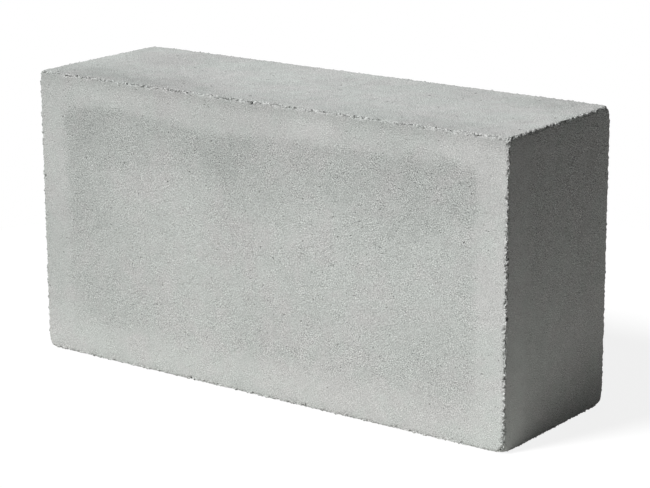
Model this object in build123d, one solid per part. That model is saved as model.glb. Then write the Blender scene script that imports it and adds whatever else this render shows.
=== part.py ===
"""Solid concrete block, cast in one piece, standing on its long bed face.

Millimetres. +X runs along the block's length, +Y from its front face to its back face, +Z up.
The origin is the middle of the bottom bed face.
"""
import os
from itertools import product
from math import sqrt

from build123d import *

# Outer size of the block
length = 440.0
thickness = 140.0
height = 230.0

# Arrises stay nearly sharp along their length
arris_radius = 1.2

# Corners are worn round: each wears to part of a ball that cuts its three arrises at the reach
corner_wear_reach = 4.5
corner_ball_radius = 14.0

# The ball's centre is this far inside each of the three faces that meet at the corner
corner_ball_inset = (
    corner_wear_reach + sqrt(3 * corner_ball_radius**2 - 2 * corner_wear_reach**2)
) / 3


def cast_block():
    """The block as the mould shapes it, with every arris and corner sharp."""
    return Pos(0, 0, height / 2) * Box(length, thickness, height)


def corner_wear(x_side, y_side, z_side):
    """What is worn off one corner. Each side is -1 or 1: left or right, front or back, low or high."""
    corner = Vector(x_side * length / 2, y_side * thickness / 2, (1 + z_side) * height / 2)
    ball_centre = corner - Vector(x_side, y_side, z_side) * corner_ball_inset
    around_corner = 2 * corner_ball_inset
    surround = Pos(corner) * Box(around_corner, around_corner, around_corner)
    return surround - Pos(ball_centre) * Sphere(corner_ball_radius)


def concrete_block():
    """The finished block: cast, then worn at its eight corners and eased along its arrises."""
    block = cast_block()
    for sides in product((-1, 1), repeat=3):
        block -= corner_wear(*sides)
    return fillet(block.edges(), arris_radius)


os.makedirs("parts", exist_ok=True)
export_step(concrete_block(), "parts/concrete_block.step")
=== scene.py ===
import math
import random
from types import SimpleNamespace

import bpy
from mathutils import Matrix, Vector, noise
from mathutils.geometry import delaunay_2d_cdt


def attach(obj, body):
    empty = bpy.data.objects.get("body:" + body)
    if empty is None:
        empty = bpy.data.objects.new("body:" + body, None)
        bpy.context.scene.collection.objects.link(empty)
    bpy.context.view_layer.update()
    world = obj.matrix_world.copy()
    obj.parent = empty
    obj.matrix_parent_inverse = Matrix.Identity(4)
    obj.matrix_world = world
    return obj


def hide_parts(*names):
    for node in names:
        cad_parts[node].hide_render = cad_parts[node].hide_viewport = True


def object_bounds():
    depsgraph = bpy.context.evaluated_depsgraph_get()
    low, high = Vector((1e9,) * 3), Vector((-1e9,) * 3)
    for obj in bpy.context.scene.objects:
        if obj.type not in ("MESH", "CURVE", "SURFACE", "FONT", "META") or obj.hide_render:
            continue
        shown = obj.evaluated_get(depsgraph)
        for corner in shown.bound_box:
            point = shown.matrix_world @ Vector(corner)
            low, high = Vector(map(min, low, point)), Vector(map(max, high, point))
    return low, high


# Everything is in metres, in the block's own frame: +X along its length, +Y from its front face
# to its back face, +Z up, with the origin in the middle of its bottom bed face.
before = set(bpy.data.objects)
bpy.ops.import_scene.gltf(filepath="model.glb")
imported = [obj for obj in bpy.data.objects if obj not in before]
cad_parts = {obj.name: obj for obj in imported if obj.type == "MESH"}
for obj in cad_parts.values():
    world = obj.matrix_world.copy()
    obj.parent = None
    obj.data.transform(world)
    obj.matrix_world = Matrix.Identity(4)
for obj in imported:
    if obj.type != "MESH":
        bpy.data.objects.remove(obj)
cad_low, cad_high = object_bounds()
mm = 0.001

# The cast block
# One solid piece of dense concrete: cement, sand and fine grit, shaken into a steel mould nearly
# dry and pushed straight out. The mould leaves six flat faces, and the stiff mix leaves arrises
# that lose single grains and corners that have worn round.
# Loose grains may stand out from the faces by the grain rise, so the faces lie that far inside.
grain_rise = 0.35 * mm
half_size = (cad_high - cad_low) / 2 - Vector((1, 1, 1)) * grain_rise
middle = (cad_high + cad_low) / 2

# How round the arrises are, and how much of their edge is loose, from 0 to 1. The arrises that
# differ are named by the sides they lie on, with 0 for the way they run.
plain_radius = 0.9 * mm
plain_looseness = 0.42
arris_radius = {(0, -1, 1): 1.4 * mm, (1, -1, 0): 0.8 * mm}
arris_looseness = {
    (0, -1, 1): 0.75,
    (1, -1, 0): 1.0,
    (1, 0, 1): 1.0,
    (-1, -1, 0): 0.48,
    (0, -1, -1): 0.6,
    (1, 1, 0): 0.28,
    (-1, 0, 1): 0.34,
}

# How much the roundness of an arris swings along it, and over what length
radius_swing = 0.5
swing_length = 14 * mm

# How round each corner has worn: on the left or right, at the front or back, at the foot or top
corner_reach = 12 * mm
corner_radius = {
    (-1, -1, -1): 4.3 * mm,
    (1, -1, -1): 5.6 * mm,
    (1, 1, -1): 4.6 * mm,
    (-1, 1, -1): 4.5 * mm,
    (-1, -1, 1): 2.4 * mm,
    (1, -1, 1): 2.8 * mm,
    (1, 1, 1): 4.3 * mm,
    (-1, 1, 1): 2.8 * mm,
}

# How close the points of the mesh stand: near each other along the arrises, where grains are
# lost, and wide apart on the flat. Points closer than the weld distance are one.
fine_spacing = 0.48 * mm
fine_band = 2.1 * mm
spacing_growth = 0.5
coarse_spacing = 9 * mm
scatter_share = 0.28
weld_distance = 0.002 * mm
scatter_seed = 7


def smooth_step(value, low, high):
    """0 below low, 1 above high, and a smooth rise between them."""
    share = min(max((value - low) / (high - low), 0), 1)
    return share * share * (3 - 2 * share)


def ring_of_points(width, height, inset, spacing, chance):
    """Points along a rectangle that lies inset from a face's outline."""
    across, up = width - 2 * inset, height - 2 * inset
    steps_across = max(1, round(across / spacing))
    steps_up = max(1, round(up / spacing))
    right, top = inset + across, inset + up
    ring = [(inset + across * i / steps_across, inset) for i in range(steps_across)]
    ring += [(right, inset + up * i / steps_up) for i in range(steps_up)]
    ring += [(inset + across * i / steps_across, top) for i in range(steps_across, 0, -1)]
    ring += [(inset, inset + up * i / steps_up) for i in range(steps_up, 0, -1)]
    if inset == 0:
        return ring
    scatter = spacing * scatter_share
    return [
        (x + chance.uniform(-scatter, scatter), y + chance.uniform(-scatter, scatter))
        for x, y in ring
    ]


def points_on_face(width, height, chance):
    """Rings that follow the outline: close together where grains are lost, wide apart on the flat."""
    points = []
    inset = 0.0
    spacing = fine_spacing
    while inset < min(width, height) / 2:
        points += ring_of_points(width, height, inset, spacing, chance)
        inset += spacing
        growth = spacing_growth * max(0, inset - fine_band)
        spacing = min(fine_spacing + growth, coarse_spacing)
    return points


def distances_in(point):
    """How far a point of the sharp block lies inside the planes of its ends, faces and beds."""
    return [half_size[i] - abs(point[i]) for i in range(3)]


def sides_of(point):
    """Which corner a point is nearest to: -1 or 1 for each of left or right, front or back, low or
    high."""
    return tuple(1 if value > 0 else -1 for value in point)


def arris_of(point):
    """Which arris a point is nearest to: the sides it lies on, with 0 for the way it runs."""
    inside = distances_in(point)
    along = inside.index(max(inside))
    return tuple(0 if i == along else side for i, side in enumerate(sides_of(point)))


def worn(point):
    """Moves a point of the sharp block, measured from its middle, onto the worn block."""
    swing = noise.noise(point / swing_length)
    radius = arris_radius.get(arris_of(point), plain_radius) * (1 + radius_swing * swing)
    sides = sides_of(point)
    near_corner = 1 - smooth_step(max(distances_in(point)), 0, corner_reach)
    radius += (corner_radius[sides] - radius) * near_corner
    core = [half_size[i] - radius for i in range(3)]
    over = Vector([max(abs(point[i]) - core[i], 0) for i in range(3)]).normalized() * radius
    return Vector([side * (min(abs(p), c) + o) for side, p, c, o in zip(sides, point, core, over)])


# Each face: its name, the ways across and up it, seen from outside, how much it shows the damp
# panel that the front face has, whether it is an end, and how coarse its grain looks
face_sides = (
    ("front", Vector((1, 0, 0)), Vector((0, 0, 1)), 1.0, 0.0, 1.0),
    ("right_end", Vector((0, 1, 0)), Vector((0, 0, 1)), 0.0, 1.0, 1.4),
    ("back", Vector((-1, 0, 0)), Vector((0, 0, 1)), 0.8, 0.0, 1.0),
    ("left_end", Vector((0, -1, 0)), Vector((0, 0, 1)), 0.0, 1.0, 1.4),
    ("top", Vector((1, 0, 0)), Vector((0, 1, 0)), 0.0, 0.0, 1.6),
    ("bottom", Vector((1, 0, 0)), Vector((0, -1, 0)), 0.3, 0.0, 1.4),
)

# The chart that the faces are laid out on, flat and side by side, to carry what is even on them all
chart_gap = 6 * mm
length, thickness, height = half_size * 2
chart_row = height + chart_gap
chart_size = 2 * chart_row + 2 * (thickness + chart_gap)
chart_places = {
    "front": (0, 0),
    "right_end": (length + chart_gap, 0),
    "back": (0, chart_row),
    "left_end": (length + chart_gap, chart_row),
    "top": (0, 2 * chart_row),
    "bottom": (0, 2 * chart_row + thickness + chart_gap),
}


def cast_block_mesh():
    """The six faces, joined along the arrises, each with its own place on the chart OFBake."""
    chance = random.Random(scatter_seed)
    shared, points, triangles, chart = {}, [], [], []
    face_values = {"panel_face": [], "end_face": [], "face_grain": []}
    for name, across, up, *values in face_sides:
        outward = across.cross(up)
        reach = [abs(way.dot(half_size)) for way in (across, up, outward)]
        corner = outward * reach[2] - across * reach[0] - up * reach[1]
        flat = [Vector(p) for p in points_on_face(2 * reach[0], 2 * reach[1], chance)]
        flat, _, found, *_ = delaunay_2d_cdt(flat, [], [], 0, weld_distance / 10)
        numbers = []
        for place in flat:
            point = corner + across * place.x + up * place.y
            key = tuple(round(value / weld_distance) for value in point)
            if key not in shared:
                shared[key] = len(points)
                points.append(point)
            numbers.append(shared[key])
        left, base = chart_places[name]
        spots = [((left + p.x) / chart_size, (base + p.y) / chart_size) for p in flat]
        for triangle in found:
            triangles.append([numbers[i] for i in triangle])
            chart += [value for i in triangle for value in spots[i]]
        for listed, value in zip(face_values.values(), values):
            listed += [value] * len(found)
    mesh = bpy.data.meshes.new("cast_block")
    mesh.from_pydata([worn(p) + middle for p in points], [], triangles)
    mesh.uv_layers.new(name="OFBake").data.foreach_set("uv", chart)
    point_values = {
        "arris_distance": [sorted(distances_in(p))[1] for p in points],
        "looseness": [arris_looseness.get(arris_of(p), plain_looseness) for p in points],
    }
    for domain, listed in (("POINT", point_values), ("FACE", face_values)):
        for name, values in listed.items():
            mesh.attributes.new(name, "FLOAT", domain).data.foreach_set("value", values)
    mesh.shade_smooth()
    return mesh


def connect(tree, socket, value):
    """Gives a socket another node's output, or a plain value."""
    if isinstance(value, bpy.types.NodeSocket):
        tree.links.new(value, socket)
    else:
        socket.default_value = value


def maths(tree, operation, *values, clamp=False):
    """A Math node's result."""
    node = tree.nodes.new("ShaderNodeMath")
    node.operation = operation
    node.use_clamp = clamp
    for socket, value in zip(node.inputs, values):
        connect(tree, socket, value)
    return node.outputs["Value"]


def total(tree, *values):
    """The sum of several values."""
    result = values[0]
    for value in values[1:]:
        result = maths(tree, "ADD", result, value)
    return result


def product(tree, *values):
    """Several values multiplied together."""
    result = values[0]
    for value in values[1:]:
        result = maths(tree, "MULTIPLY", result, value)
    return result


def vector_maths(tree, operation, first, second):
    """A Vector Math node's result. The second value is a number where a vector is scaled."""
    node = tree.nodes.new("ShaderNodeVectorMath")
    node.operation = operation
    connect(tree, node.inputs[0], first)
    connect(tree, node.inputs["Scale" if operation == "SCALE" else 1], second)
    return node.outputs["Value" if operation == "DISTANCE" else "Vector"]


def ramp(tree, value, low, high, start=0.0, end=1.0):
    """Changes smoothly from start to end as the value goes from low to high."""
    node = tree.nodes.new("ShaderNodeMapRange")
    node.interpolation_type = "SMOOTHSTEP"
    names = ("Value", "From Min", "From Max", "To Min", "To Max")
    for name, given in zip(names, (value, low, high, start, end)):
        connect(tree, node.inputs[name], given)
    return node.outputs["Result"]


def fading(tree, distance, full_to, gone_by, strength=1.0):
    """A strength that holds up to one distance and has faded away by another."""
    return ramp(tree, distance, full_to, gone_by, strength, 0.0)


def cloud(tree, place, size, detail=2.0, roughness=0.5, dimensions="3D"):
    """Soft noise about 0, from -0.5 to 0.5, in lumps of the given size."""
    node = tree.nodes.new("ShaderNodeTexNoise")
    node.noise_dimensions = dimensions
    connect(tree, node.inputs["Vector"], place)
    node.inputs["Scale"].default_value = 1 / size
    node.inputs["Detail"].default_value = detail
    node.inputs["Roughness"].default_value = roughness
    return maths(tree, "SUBTRACT", node.outputs["Fac"], 0.5)


def grains(tree, place, size, dimensions="3D"):
    """Grains of a size: the distance from each one's middle, and three numbers of its own."""
    node = tree.nodes.new("ShaderNodeTexVoronoi")
    node.voronoi_dimensions = dimensions
    connect(tree, node.inputs["Vector"], place)
    connect(tree, node.inputs["Scale"], maths(tree, "DIVIDE", 1.0, size))
    kind = "ShaderNodeSeparateColor" if tree.type == "SHADER" else "FunctionNodeSeparateColor"
    split = tree.nodes.new(kind)
    tree.links.new(node.outputs["Color"], split.inputs[0])
    return node.outputs["Distance"], split.outputs[0], split.outputs[1], split.outputs[2]


def crumbled_arrises():
    """Geometry Nodes that take single grains out of the arrises and leave others standing out."""
    tree = bpy.data.node_groups.new("crumbled_arrises", "GeometryNodeTree")
    sizes = {
        "Grain Size": 1.9 * mm,
        "Grain Height": 1.4 * mm,
        "Lost Share": 0.32,
        "Lost Depth": 1.4 * mm,
        "Grain Drift": 4.2 * mm,
        "Crumbling Width": 2.8 * mm,
        "Face Unevenness": 0.25 * mm,
        "Seed": 4.0,
    }
    interface = tree.interface
    interface.new_socket("Block", in_out="INPUT", socket_type="NodeSocketGeometry")
    for name, size in sizes.items():
        socket = interface.new_socket(name, in_out="INPUT", socket_type="NodeSocketFloat")
        socket.default_value = size
    interface.new_socket("Concrete", in_out="INPUT", socket_type="NodeSocketMaterial")
    interface.new_socket("Block", in_out="OUTPUT", socket_type="NodeSocketGeometry")
    given = tree.nodes.new("NodeGroupInput").outputs

    position = tree.nodes.new("GeometryNodeInputPosition").outputs["Position"]
    shift = tree.nodes.new("ShaderNodeCombineXYZ")
    for socket in shift.inputs:
        tree.links.new(given["Seed"], socket)
    place = vector_maths(tree, "ADD", position, shift.outputs["Vector"])
    stored = {}
    for name in ("arris_distance", "looseness"):
        reader = tree.nodes.new("GeometryNodeInputNamedAttribute")
        reader.inputs["Name"].default_value = name
        stored[name] = reader.outputs["Attribute"]

    # Grains are loose at the arris, and less so further in, up to a line that wanders
    usual_width, wander_share = 0.95, 2.0
    wander = product(tree, cloud(tree, place, 8 * mm, detail=3.0), wander_share)
    width = product(tree, given["Crumbling Width"], total(tree, usual_width, wander))
    share_in = maths(tree, "DIVIDE", stored["arris_distance"], width)
    loose = maths(tree, "SUBTRACT", 1.0, share_in, clamp=True)
    loose = product(tree, loose, stored["looseness"])

    # Some are lost, and the deepest holes are kept as voids, for the material to darken with painted
    # shade
    off_middle, luck, luck_height, luck_depth = grains(tree, place, given["Grain Size"])
    unlucky = maths(tree, "LESS_THAN", luck, product(tree, given["Lost Share"], loose))
    lost = product(tree, unlucky, fading(tree, off_middle, full_to=0.3, gone_by=0.7))
    least_depth = 0.4
    depth = product(tree, given["Lost Depth"], total(tree, least_depth, luck_depth))
    drop = product(tree, lost, depth)
    void = product(tree, lost, ramp(tree, luck_depth, low=0.3, high=0.7))

    # Each grain left has its own height, and sinks between its neighbours at its edge
    sunk = -0.8
    dome = ramp(tree, off_middle, low=0.1, high=0.75, start=0.5, end=-0.5)
    height = total(tree, luck_height, sunk, dome)
    fine = cloud(tree, place, 0.9 * mm, detail=2.0)
    rough = product(tree, total(tree, height, fine), given["Grain Height"], loose)

    # The flat faces dip inwards a little, in wide shallow hollows
    inwards = -0.5
    hollow = total(tree, cloud(tree, place, 60 * mm), inwards)
    uneven = product(tree, hollow, given["Face Unevenness"])
    outward = maths(tree, "SUBTRACT", total(tree, rough, uneven), drop)
    normal = tree.nodes.new("GeometryNodeInputNormal").outputs["Normal"]
    moved = vector_maths(tree, "ADD", position, vector_maths(tree, "SCALE", normal, outward))

    # Loose grains have also drifted sideways, and none stands out past the plates of the mould
    drift_length = 2.4 * mm
    drift = tree.nodes.new("ShaderNodeTexNoise")
    tree.links.new(place, drift.inputs["Vector"])
    drift.inputs["Scale"].default_value = 1 / drift_length
    drift.inputs["Detail"].default_value = 1.0
    drift = vector_maths(tree, "SUBTRACT", drift.outputs["Color"], (0.5, 0.5, 0.5))
    drift = vector_maths(tree, "SCALE", drift, product(tree, given["Grain Drift"], loose))
    moved = vector_maths(tree, "ADD", moved, drift)
    plate_gap = Vector((1, 1, 1)) * 0.02 * mm
    moved = vector_maths(tree, "MINIMUM", moved, cad_high - plate_gap)
    moved = vector_maths(tree, "MAXIMUM", moved, cad_low + plate_gap)

    flow = given["Block"]
    for name, value in (("void", void), ("crumbling", loose)):
        store = tree.nodes.new("GeometryNodeStoreNamedAttribute")
        store.inputs["Name"].default_value = name
        tree.links.new(flow, store.inputs["Geometry"])
        tree.links.new(value, store.inputs["Value"])
        flow = store.outputs["Geometry"]
    move = tree.nodes.new("GeometryNodeSetPosition")
    tree.links.new(flow, move.inputs["Geometry"])
    tree.links.new(moved, move.inputs["Position"])
    realize = tree.nodes.new("GeometryNodeRealizeInstances")
    tree.links.new(move.outputs["Geometry"], realize.inputs["Geometry"])
    paint = tree.nodes.new("GeometryNodeSetMaterial")
    tree.links.new(realize.outputs["Geometry"], paint.inputs["Geometry"])
    tree.links.new(given["Concrete"], paint.inputs["Material"])
    result = tree.nodes.new("NodeGroupOutput")
    tree.links.new(paint.outputs["Geometry"], result.inputs["Block"])
    return tree


def on_front(x, z):
    """A place on the front face, from millimetres."""
    return Vector((x * mm, cad_low.y, z * mm))


def on_top(x, y):
    """A place on the top, from millimetres."""
    return Vector((x * mm, y * mm, cad_high.z))


# Damp patches that have not dried pale: where each is, how far it reaches and how dark it is,
# which is less than 0 for a patch that is paler than the rest.
# Those of the panel stop at its edge, and those of the top run out to the arris.
panel_patches = (
    (on_front(-168, 190), 48 * mm, 0.03),
    (on_front(-38, 188), 40 * mm, 0.05),
    (on_front(-15, 160), 46 * mm, 0.05),
    (on_front(140, 178), 44 * mm, 0.03),
    (on_front(118, 158), 42 * mm, 0.04),
    (on_front(-178, 128), 46 * mm, 0.06),
    (on_front(-32, 122), 42 * mm, 0.035),
    (on_front(8, 52), 34 * mm, 0.035),
    (on_front(145, 62), 48 * mm, 0.02),
)
top_patches = (
    (on_top(-168, -52), 54 * mm, 0.14),
    (on_top(-105, -56), 60 * mm, 0.10),
    (on_top(-165, 22), 46 * mm, 0.07),
    (on_top(190, 66), 62 * mm, 0.15),
    (on_top(105, 42), 60 * mm, 0.06),
    (on_top(160, -75), 60 * mm, 0.05),
    (on_top(-60, 26), 75 * mm, -0.045),
    (on_top(-208, 8), 40 * mm, -0.05),
    (on_top(-110, -48), 32 * mm, 0.05),
    (on_top(-70, -62), 28 * mm, 0.05),
    (on_top(-140, 52), 36 * mm, 0.05),
    (on_top(148, -42), 36 * mm, 0.035),
)

# Places where the panel reaches further out than its even margin, how wide they are and how far
# out it goes, which is less than 0 where it stays back
panel_bulges = (
    (on_front(-150, 204), 66 * mm, 5 * mm),
    (on_front(158, 204), 40 * mm, 4 * mm),
    (on_front(-60, 206), 48 * mm, -3 * mm),
    (on_front(-192, 100), 50 * mm, 3 * mm),
    (on_front(-192, 165), 50 * mm, 3 * mm),
)

# Spots of the margin where more lime has bloomed than beside them, or less, shown by less than 0
lime_patches = (
    (on_front(52, 214), 34 * mm, 0.08),
    (on_front(182, 218), 36 * mm, 0.09),
    (on_front(214, 203), 26 * mm, 0.07),
    (on_front(-150, 226), 60 * mm, 0.03),
    (on_front(-214, 112), 52 * mm, -0.055),
    (on_front(212, 22), 46 * mm, 0.04),
)


def patches(tree, place, swing, listed):
    """How much the listed patches change a place's value. The swing makes their outlines ragged."""
    full_share = 0.2
    change = 0.0
    for patch, reach, strength in listed:
        away = total(tree, vector_maths(tree, "DISTANCE", place, patch), swing)
        change = maths(tree, "ADD", change, fading(tree, away, reach * full_share, reach, strength))
    return change


def surface_point(tree):
    """Where a point of the surface lies on the block, and the values that its mesh carries."""
    at = SimpleNamespace()
    at.place = tree.nodes.new("ShaderNodeTexCoord").outputs["Object"]
    split = tree.nodes.new("ShaderNodeSeparateXYZ")
    tree.links.new(at.place, split.inputs["Vector"])
    at.x, at.y, at.z = split.outputs
    at.under_top = maths(tree, "SUBTRACT", cad_high.z, at.z)
    at.from_left = maths(tree, "SUBTRACT", at.x, cad_low.x)
    at.from_front = maths(tree, "SUBTRACT", at.y, cad_low.y)
    at.from_back = maths(tree, "SUBTRACT", cad_high.y, at.y)
    at.up_face = ramp(tree, at.z, cad_high.z - 1.5 * mm, cad_high.z - 0.8 * mm)
    for name in ("arris_distance", "panel_face", "end_face", "face_grain", "void", "crumbling"):
        reader = tree.nodes.new("ShaderNodeAttribute")
        reader.attribute_name = name
        setattr(at, name, reader.outputs["Fac"])
    return at


def mark_margins(tree, at):
    """Marks the panel inside the front's pale margin, and the end beyond its pale front strip."""
    # The margin dries first. Its inner edge wanders by a few millimetres, and is soft low down and
    # on the left.
    margin = 25 * mm
    edge_start = 3 * mm
    edge_wander = 22 * mm
    wobble = cloud(tree, at.place, 22 * mm, detail=5.0, roughness=0.65)
    wobble = product(tree, wobble, edge_wander)
    depth = total(tree, at.arris_distance, wobble, patches(tree, at.place, 0.0, panel_bulges))
    softness = ramp(tree, at.z, low=20 * mm, high=70 * mm, start=18 * mm, end=6 * mm)
    left_softness = fading(tree, at.x, full_to=-195 * mm, gone_by=-150 * mm, strength=6 * mm)
    softness = total(tree, softness, left_softness)
    panel = ramp(tree, depth, margin - edge_start, total(tree, softness, margin))
    at.panel = product(tree, panel, at.panel_face)
    at.strip = total(tree, at.from_front, wobble)
    at.beyond = ramp(tree, at.strip, low=24 * mm, high=32 * mm)


def damp_lime_and_shade(tree, at):
    """The broad light and dark: 1 for plain concrete, less where damp, low on the faces and along
    their arrises, and under painted shade at the feet of the ends, more where lime bloomed.
    """
    edge_swing = 70 * mm
    lime_blotches, top_blotches = 0.05, 0.22
    blotch = cloud(tree, at.place, 30 * mm, detail=5.0, roughness=0.65)
    swing = product(tree, blotch, edge_swing)

    # Damp lingers along the upper edge of the panel and down its left side
    from_top = total(tree, at.under_top, swing)
    from_left = total(tree, at.from_left, swing)
    upper = fading(tree, from_top, full_to=36 * mm, gone_by=95 * mm, strength=0.10)
    left = fading(tree, from_left, full_to=20 * mm, gone_by=160 * mm, strength=0.06)
    damp = total(tree, upper, left, patches(tree, at.place, swing, panel_patches))
    damp = product(tree, damp, at.panel)

    # The whole face is also a little darker up from its foot, and along its upper and lower
    # arrises
    foot = fading(tree, at.z, full_to=10 * mm, gone_by=160 * mm, strength=0.105)
    foot = product(tree, foot, at.panel_face)
    upper_rim = fading(tree, at.under_top, full_to=2.5 * mm, gone_by=13 * mm, strength=0.12)
    lower_rim = fading(tree, at.z, full_to=0.0, gone_by=12 * mm, strength=0.07)
    rim = product(tree, total(tree, upper_rim, lower_rim), at.panel_face)

    # Lime has bloomed on the margin, most of it low down and to the right
    bloom_low = fading(tree, at.z, full_to=15 * mm, gone_by=50 * mm, strength=0.055)
    bloom_right = ramp(tree, at.x, low=185 * mm, high=200 * mm, start=0.0, end=0.08)
    less_above = ramp(tree, at.z, low=160 * mm, high=182 * mm, start=1.0, end=0.3)
    bloom = maths(tree, "MAXIMUM", bloom_low, product(tree, bloom_right, less_above))
    spots = patches(tree, at.place, swing, lime_patches)
    bloom = total(tree, bloom, product(tree, blotch, lime_blotches), spots)
    bloom = product(tree, bloom, maths(tree, "SUBTRACT", at.panel_face, at.panel))

    # The top is blotchy, and darker along its front arris
    front_edge = total(tree, at.from_front, swing)
    front_edge = fading(tree, front_edge, full_to=0.0, gone_by=50 * mm, strength=0.09)
    spots = patches(tree, at.place, swing, top_patches)
    top_damp = total(tree, front_edge, spots, product(tree, blotch, top_blotches))
    top_damp = product(tree, top_damp, at.up_face)

    # Each end is darker beyond a strip along its front arris and just in from its front and upper
    # arrises. Near its foot, beyond that strip, it has painted shade where the table lies in the
    # block's shadow. It has some lime at the back.
    even_damp = 0.03
    # Painted shade at the foot of the end, deepest away from its front strip
    end_foot_shade = fading(tree, at.z, full_to=5 * mm, gone_by=65 * mm, strength=0.16)
    end_foot_shade = product(tree, end_foot_shade, ramp(tree, at.strip, low=20 * mm, high=60 * mm))
    end_rim = maths(tree, "MINIMUM", at.from_front, at.under_top)
    end_rim = fading(tree, end_rim, full_to=4 * mm, gone_by=17 * mm, strength=0.04)
    end_damp_and_shade = fading(tree, at.strip, full_to=30 * mm, gone_by=60 * mm, strength=0.03)
    end_damp_and_shade = product(tree, total(tree, end_damp_and_shade, even_damp), at.beyond)
    end_lime = fading(tree, at.from_back, full_to=6 * mm, gone_by=26 * mm, strength=0.06)
    end_damp_and_shade = maths(tree, "SUBTRACT", total(tree, end_damp_and_shade, end_foot_shade, end_rim), end_lime)
    end_damp_and_shade = product(tree, end_damp_and_shade, at.end_face)

    tone = total(tree, bloom, 1.0)
    for dark in (damp, foot, rim, top_damp, end_damp_and_shade):
        tone = maths(tree, "SUBTRACT", tone, dark)
    return tone


def face_coarseness(tree, at):
    """How coarse the grain looks: more so inside the margins, in patches, and by its face."""
    smooth_share, rough_share = 0.67, 0.33
    inner = total(tree, at.panel, product(tree, at.beyond, at.end_face))
    coarseness = total(tree, product(tree, inner, rough_share), smooth_share)
    uneven = cloud(tree, at.place, 12 * mm, detail=2.0)
    uneven = ramp(tree, uneven, low=-0.25, high=0.25, start=0.7, end=1.3)
    coarseness = product(tree, coarseness, uneven, at.face_grain)

    # On the ends it grows coarser upwards and away from the front
    upward = ramp(tree, at.z, low=40 * mm, high=180 * mm, start=-0.42, end=0.26)
    backward = ramp(tree, at.from_front, low=20 * mm, high=110 * mm, start=-0.16, end=0.10)
    end_grain = product(tree, total(tree, upward, backward), at.end_face)
    return product(tree, coarseness, total(tree, end_grain, 1.0))


def sand_and_grit(tree, at, tone):
    """Adds the fine light and dark of the cast faces to the tone, and gives their relief too."""
    # Fine sand lies evenly on every face, so it is laid out on the chart. It is two noises, turned
    # against each other, that hide each other's rows. The rest runs from grit to faint clouds.
    chart = tree.nodes.new("ShaderNodeUVMap")
    chart.uv_map = "OFBake"
    chart_place = vector_maths(tree, "SCALE", chart.outputs["UV"], chart_size)
    _, sand_shade, _, _ = grains(tree, chart_place, 0.8 * mm, dimensions="2D")
    sand = 0.0
    for turn in (0.55, -0.35):
        turned = tree.nodes.new("ShaderNodeMapping")
        turned.inputs["Rotation"].default_value = (0, 0, turn)
        tree.links.new(chart_place, turned.inputs["Vector"])
        turned_place = turned.outputs["Vector"]
        layer = cloud(tree, turned_place, 0.7 * mm, detail=1.0, roughness=0.4, dimensions="2D")
        sand = maths(tree, "ADD", layer, sand)
    grit = cloud(tree, at.place, 3.2 * mm, detail=2.0)
    clump = cloud(tree, at.place, 9 * mm, detail=3.0)
    haze = cloud(tree, at.place, 45 * mm, detail=4.0)

    shade_strength, sand_strength, grit_strength, haze_strength = 0.28, 1.36, 0.10, 0.08
    end_share, more_clumps, plain_clumps = 0.6, 0.16, 0.14
    coarseness = face_coarseness(tree, at)
    speckle = product(tree, total(tree, sand_shade, -0.5), shade_strength)
    speckle = total(tree, speckle, product(tree, sand, sand_strength))
    speckle = total(tree, speckle, product(tree, grit, grit_strength))
    blotchy_faces = total(tree, at.up_face, product(tree, at.end_face, end_share))
    clumping = total(tree, product(tree, blotchy_faces, more_clumps), plain_clumps)
    speckle = total(tree, product(tree, speckle, coarseness), product(tree, clump, clumping))
    tone = total(tree, tone, speckle, product(tree, haze, haze_strength))

    # Here and there a small pit, darkened with painted shade, more so on the ends, or a grain of
    # quartz
    pit_share, quartz_share = 0.025, 0.05
    pit_painted_shade, end_pit_painted_shade, quartz_pale = -0.24, -0.26, 0.10
    off_middle, luck, _, _ = grains(tree, at.place, 2.0 * mm)
    core = fading(tree, off_middle, full_to=0.15, gone_by=0.45)
    pit = product(tree, maths(tree, "LESS_THAN", luck, pit_share), core)
    quartz = product(tree, maths(tree, "GREATER_THAN", luck, 1 - quartz_share), core)
    pit_shade_tone = total(tree, product(tree, at.end_face, end_pit_painted_shade), pit_painted_shade)
    tone = total(tree, tone, product(tree, pit, pit_shade_tone), product(tree, quartz, quartz_pale))

    # A few wider pits, darkened with painted shade, and pale grains stand out on the top and the ends
    wide_pit_share, pale_share = 0.05, 0.035
    wide_pit_painted_shade, grain_pale = -0.75, 0.35
    off_dot, dot_luck, _, _ = grains(tree, at.place, 6 * mm)
    pale = product(tree, maths(tree, "GREATER_THAN", dot_luck, 1 - pale_share), grain_pale)
    dark = product(tree, maths(tree, "LESS_THAN", dot_luck, wide_pit_share), wide_pit_painted_shade)
    dot_core = fading(tree, off_dot, full_to=0.12, gone_by=0.24)
    dot = product(tree, total(tree, pale, dark), dot_core)
    tone = total(tree, tone, product(tree, dot, blotchy_faces))

    sand_height, grit_height, pit_height = 0.4, 1.2, -1.5
    relief = total(tree, product(tree, sand, sand_height), product(tree, grit, grit_height))
    relief = total(tree, relief, product(tree, pit, pit_height))
    return tone, product(tree, relief, coarseness)


def arris_crumbs(tree, at):
    """The broken grains along the arrises: each one's own paleness, partly a painted highlight, with
    painted shade in the gaps between them.
    """
    plain, luck_pale_and_lit, gap_painted_shade = -0.02, 0.50, -0.48

    # They are pushed about a little, so that no two look alike
    push, slant = 1.6 * mm, (1.0, -0.7, 0.8)
    ragged = product(tree, cloud(tree, at.place, 1.3 * mm), push)
    shift = vector_maths(tree, "SCALE", slant, ragged)
    crumb_place = vector_maths(tree, "ADD", at.place, shift)
    off_crumb, crumb_luck, _, _ = grains(tree, crumb_place, 1.5 * mm)
    gap = ramp(tree, off_crumb, low=0.4, high=0.75)
    return total(tree, plain, product(tree, crumb_luck, luck_pale_and_lit), product(tree, gap, gap_painted_shade))


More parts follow.
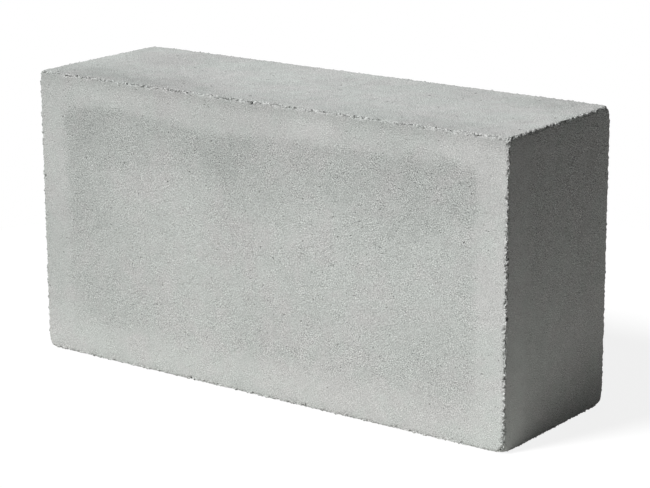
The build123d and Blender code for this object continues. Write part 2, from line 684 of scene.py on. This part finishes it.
def grey_tint(tree, at):
    """Cooler and warmer greys in soft clouds, and a little cooler all over the panel."""
    tint = tree.nodes.new("ShaderNodeMix")
    tint.data_type = "RGBA"
    cool_grey, warm_grey = (0.501, 0.524, 0.506, 1), (0.513, 0.518, 0.508, 1)
    small_share, large_share, panel_coolness = 0.8, 0.9, -0.07
    small = product(tree, cloud(tree, at.place, 14 * mm, detail=3.0), small_share)
    large = product(tree, cloud(tree, at.place, 60 * mm, detail=2.0), large_share)
    shade = total(tree, small, large, product(tree, at.panel, panel_coolness))
    share, cool, warm = (tint.inputs[i] for i in (0, 6, 7))
    connect(tree, share, ramp(tree, shade, low=-0.2, high=0.2))
    cool.default_value = cool_grey
    warm.default_value = warm_grey
    mixed_colour = tint.outputs[2]
    return mixed_colour


def concrete_material():
    """Cast concrete: a pale smooth margin along the arrises, a damper and grainier panel inside."""
    material = bpy.data.materials.new("cast_concrete")
    material.use_nodes = True
    tree = material.node_tree
    surface = tree.nodes["Principled BSDF"]
    at = surface_point(tree)
    mark_margins(tree, at)
    tone = damp_lime_and_shade(tree, at)
    tone, relief = sand_and_grit(tree, at, tone)

    # Crumbs show where the arris is loose, pale partly with painted highlight and with painted shade
    # between them, those of the right end less, and a void where one is lost
    void_painted_shade, crumb_height = 0.70, 3.0
    crumb = arris_crumbs(tree, at)
    shown = ramp(tree, at.crumbling, low=0.0, high=0.5)
    # The right end faces away from the lamp, so its crumbs carry less painted highlight and shade
    crumb_light_share = ramp(tree, at.x, low=210 * mm, high=217 * mm, start=1.0, end=0.6)
    tone = total(tree, tone, product(tree, crumb, product(tree, shown, crumb_light_share)))
    # Painted shade darkens each void where a grain is lost
    tone = maths(tree, "SUBTRACT", tone, product(tree, at.void, void_painted_shade))
    relief = total(tree, relief, product(tree, crumb, at.crumbling, crumb_height))

    colour = vector_maths(tree, "SCALE", grey_tint(tree, at), tone)
    tree.links.new(colour, surface.inputs["Base Color"])
    roughness = ramp(tree, at.panel, low=0.0, high=1.0, start=0.82, end=0.92)
    tree.links.new(roughness, surface.inputs["Roughness"])
    surface.inputs["Specular IOR Level"].default_value = 0.25
    bump = tree.nodes.new("ShaderNodeBump")
    bump.inputs["Distance"].default_value = 0.3 * mm
    tree.links.new(relief, bump.inputs["Height"])
    tree.links.new(bump.outputs["Normal"], surface.inputs["Normal"])
    return material


block = bpy.data.objects.new("dressed_block", cast_block_mesh())
bpy.context.scene.collection.objects.link(block)
crumbling = block.modifiers.new("crumbled_arrises", "NODES")
crumbling.node_group = crumbled_arrises()
for socket in crumbling.node_group.interface.items_tree:
    if socket.in_out == "INPUT" and socket.socket_type == "NodeSocketFloat":
        crumbling[socket.identifier] = socket.default_value
    if socket.in_out == "INPUT" and socket.socket_type == "NodeSocketMaterial":
        crumbling[socket.identifier] = concrete_material()
now = bpy.context.evaluated_depsgraph_get()
dressed = bpy.data.meshes.new_from_object(
    block.evaluated_get(now), preserve_all_data_layers=True, depsgraph=now
)
block.modifiers.clear()
block.data = dressed

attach(block, "root")
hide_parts("concrete_block")

# The studio
# A round pale table that the block stands on, under one soft lamp from the front left, with a
# faint one from behind and a dim even sky.
table_reach = 0.55
table_sides = 64
table_mesh = bpy.data.meshes.new("studio_table")
table_turns = [2 * math.pi * i / table_sides for i in range(table_sides)]
table_rim = [
    (table_reach * math.cos(turn), table_reach * math.sin(turn), 0) for turn in table_turns
]
table_mesh.from_pydata(table_rim, [], [list(range(table_sides))])
table = bpy.data.objects.new("studio_table", table_mesh)
bpy.context.scene.collection.objects.link(table)


def seen_directly(tree):
    """1 for a ray from the camera, off gloss or through glass, and 0 for the light on the block."""
    path = tree.nodes.new("ShaderNodeLightPath").outputs
    gloss = maths(tree, "MAXIMUM", path["Is Glossy Ray"], path["Is Transmission Ray"])
    return maths(tree, "MAXIMUM", path["Is Camera Ray"], gloss)


def table_material():
    """White to the eye, with the block's shadow kept, and a quieter grey to the light it returns."""
    material = bpy.data.materials.new("studio_table")
    material.use_nodes = True
    tree = material.node_tree
    tree.nodes.remove(tree.nodes["Principled BSDF"])
    returned_grey = (0.662, 0.65, 0.625, 1)
    shadow_grey = (0.18, 0.18, 0.18, 1)
    glow_strength = 0.85
    quiet = tree.nodes.new("ShaderNodeBsdfDiffuse")
    quiet.inputs["Color"].default_value = returned_grey
    shaded = tree.nodes.new("ShaderNodeBsdfDiffuse")
    shaded.inputs["Color"].default_value = shadow_grey
    glow = tree.nodes.new("ShaderNodeEmission")
    glow.inputs["Strength"].default_value = glow_strength
    white = tree.nodes.new("ShaderNodeAddShader")
    tree.links.new(shaded.outputs[0], white.inputs[0])
    tree.links.new(glow.outputs[0], white.inputs[1])
    choose = tree.nodes.new("ShaderNodeMixShader")
    tree.links.new(seen_directly(tree), choose.inputs["Fac"])
    tree.links.new(quiet.outputs[0], choose.inputs[1])
    tree.links.new(white.outputs[0], choose.inputs[2])
    tree.links.new(choose.outputs[0], tree.nodes["Material Output"].inputs["Surface"])
    return material


table_mesh.materials.append(table_material())

sky = bpy.data.worlds.new("studio_sky")
bpy.context.scene.world = sky
sky.use_nodes = True
sky_light = 0.06
backdrop = sky.node_tree.nodes["Background"]
backdrop.inputs["Color"].default_value = (1, 1, 1, 1)
brightness = ramp(sky.node_tree, seen_directly(sky.node_tree), 0.0, 1.0, sky_light, 1.0)
sky.node_tree.links.new(brightness, backdrop.inputs["Strength"])


def studio_lamp(name, strength, softness, direction):
    """A soft lamp, far off in the given direction."""
    lamp = bpy.data.lights.new(name, "SUN")
    lamp.energy = strength
    lamp.angle = math.radians(softness)
    holder = bpy.data.objects.new(name, lamp)
    holder.rotation_euler = Vector(direction).to_track_quat("Z", "Y").to_euler()
    bpy.context.scene.collection.objects.link(holder)


studio_lamp("key_lamp", strength=3.73, softness=14, direction=(-0.35, -0.73, 0.86))
studio_lamp("back_lamp", strength=0.45, softness=40, direction=(-0.60, 0.75, 0.15))

# The camera
# It stands a little above the block and to the right of its front face, with a long lens.
camera_azimuth = math.radians(36.632)
camera_elevation = math.radians(14.883)
camera_roll = math.radians(-0.226)
camera_place = Vector((1.0151, -1.3508, 0.5548))
lens = bpy.data.cameras.new("camera")
lens.sensor_width = 36.0
lens.lens = 124.68
camera = bpy.data.objects.new("camera", lens)
turn = Matrix.Rotation(camera_azimuth, 4, "Z")
tilt = Matrix.Rotation(math.pi / 2 - camera_elevation, 4, "X")
roll = Matrix.Rotation(camera_roll, 4, "Z")
camera.matrix_world = Matrix.Translation(camera_place) @ (turn @ tilt) @ roll
bpy.context.scene.collection.objects.link(camera)
bpy.context.scene.camera = camera

bpy.context.scene.view_settings.view_transform = "Standard"
